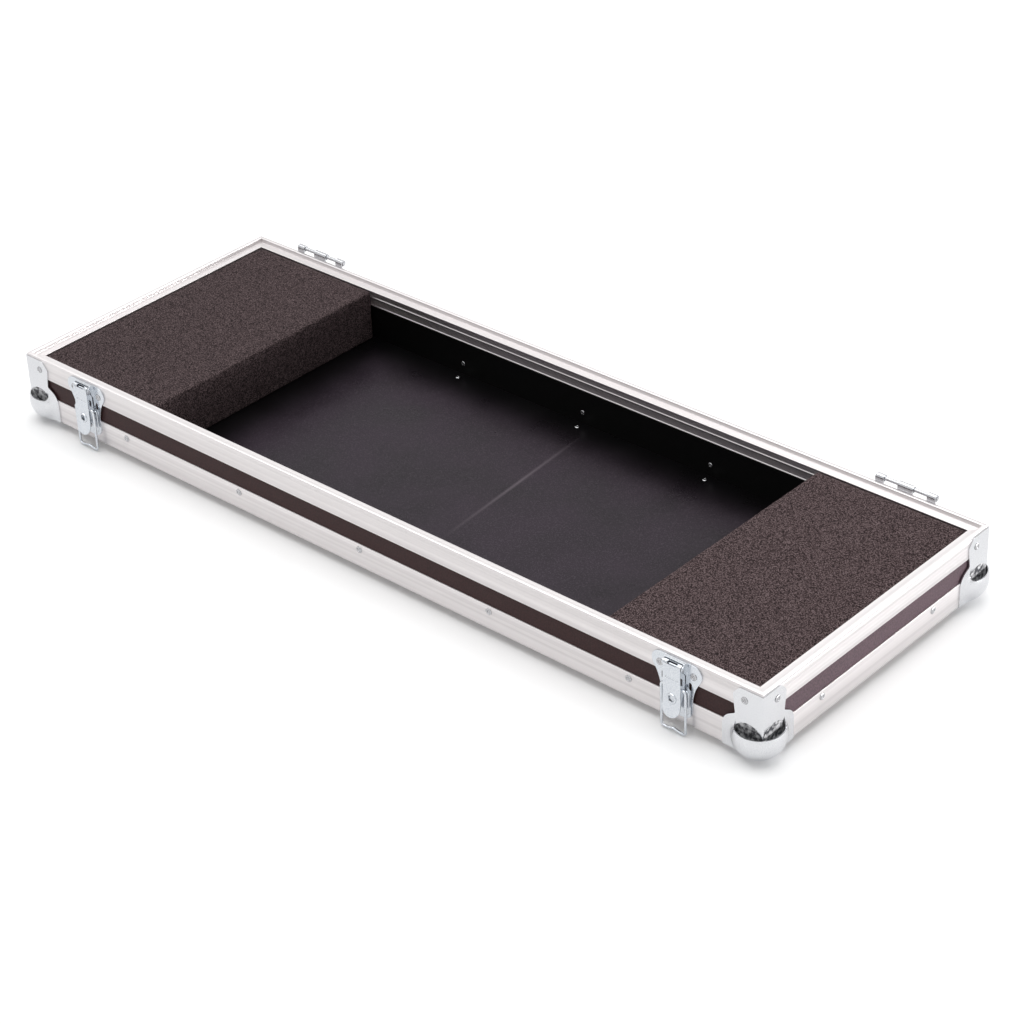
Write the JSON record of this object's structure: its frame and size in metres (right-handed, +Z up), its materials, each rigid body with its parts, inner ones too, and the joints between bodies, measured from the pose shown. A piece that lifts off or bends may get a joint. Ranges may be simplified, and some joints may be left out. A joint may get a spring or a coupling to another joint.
{
  "type": "keyboard flight case base",
  "caption": "Shallow flight-case base tray for a keyboard: dark panels in aluminium edging, steel ball corners, foam end blocks, draw latches and lift-off hinge halves.",
  "frame": {"origin": "under the middle of the case, on the plane that the four ball corners stand on", "axes": "+X along the case's length, -Y toward the latch side, +Y toward the hinge side, +Z up"},
  "size_m": [1.146, 0.4212, 0.0995],
  "materials": {
    "aluminium_edging": "bright satin extrusion with fine lengthwise lines",
    "pressed_steel": "bright plated steel pressing, smooth",
    "latch_steel": "bright nickel-plated steel, smooth",
    "hinge_steel": "bright nickel-plated steel, smooth",
    "rivet": "polished domed heads",
    "wall_panel": "plywood with a smooth dark brown film",
    "floor_panel": "plywood with a dark matt film",
    "foam": "dense dark foam with a fine-pored matt surface"
  },
  "bodies": {
    "tray": {"ball_corner_back_left": "pressed_steel", "ball_corner_back_right": "pressed_steel", "ball_corner_front_left": "pressed_steel", "ball_corner_front_right": "pressed_steel", "base_angle_back": "aluminium_edging", "base_angle_front": "aluminium_edging", "base_angle_left": "aluminium_edging", "base_angle_right": "aluminium_edging", "base_rivets_back": "rivet", "base_rivets_front": "rivet", "base_rivets_left": "rivet", "base_rivets_right": "rivet", "corner_rivets": "rivet", "floor_panel": "floor_panel", "foam_block_left": "foam", "foam_block_right": "foam", "hinge_leaf_left": "hinge_steel", "hinge_leaf_right": "hinge_steel", "hinge_rivets_left": "rivet", "hinge_rivets_right": "rivet", "hinge_rod_left": "hinge_steel", "hinge_rod_right": "hinge_steel", "latch_pin_left": "latch_steel", "latch_pin_right": "latch_steel", "latch_plate_left": "latch_steel", "latch_plate_right": "latch_steel", "latch_rivets_left": "rivet", "latch_rivets_right": "rivet", "rim_back": "aluminium_edging", "rim_front": "aluminium_edging", "rim_left": "aluminium_edging", "rim_right": "aluminium_edging", "wall_back": "wall_panel", "wall_front": "wall_panel", "wall_left": "wall_panel", "wall_right": "wall_panel"},
    "lever_left": {"latch_lever_left": "latch_steel"},
    "lever_right": {"latch_lever_right": "latch_steel"},
    "bail_left": {"latch_bail_left": "latch_steel"},
    "bail_right": {"latch_bail_right": "latch_steel"}
  },
  "joints": [
    {"name": "lever_left_hinge", "type": "hinge", "parent": "tray", "child": "lever_left", "pos_m": [-0.453, -0.2037, 0.08314], "axis": [-1, 0, 0], "range_deg": [0, 95]},
    {"name": "bail_left_hinge", "type": "hinge", "parent": "lever_left", "child": "bail_left", "pos_m": [-0.453, -0.20435, 0.05664], "axis": [-1, 0, 0], "range_deg": [0, 150]},
    {"name": "lever_right_hinge", "type": "hinge", "parent": "tray", "child": "lever_right", "pos_m": [0.453, -0.2037, 0.08314], "axis": [-1, 0, 0], "range_deg": [0, 95]},
    {"name": "bail_right_hinge", "type": "hinge", "parent": "lever_right", "child": "bail_right", "pos_m": [0.453, -0.20435, 0.05664], "axis": [-1, 0, 0], "range_deg": [0, 150]}
  ]
}
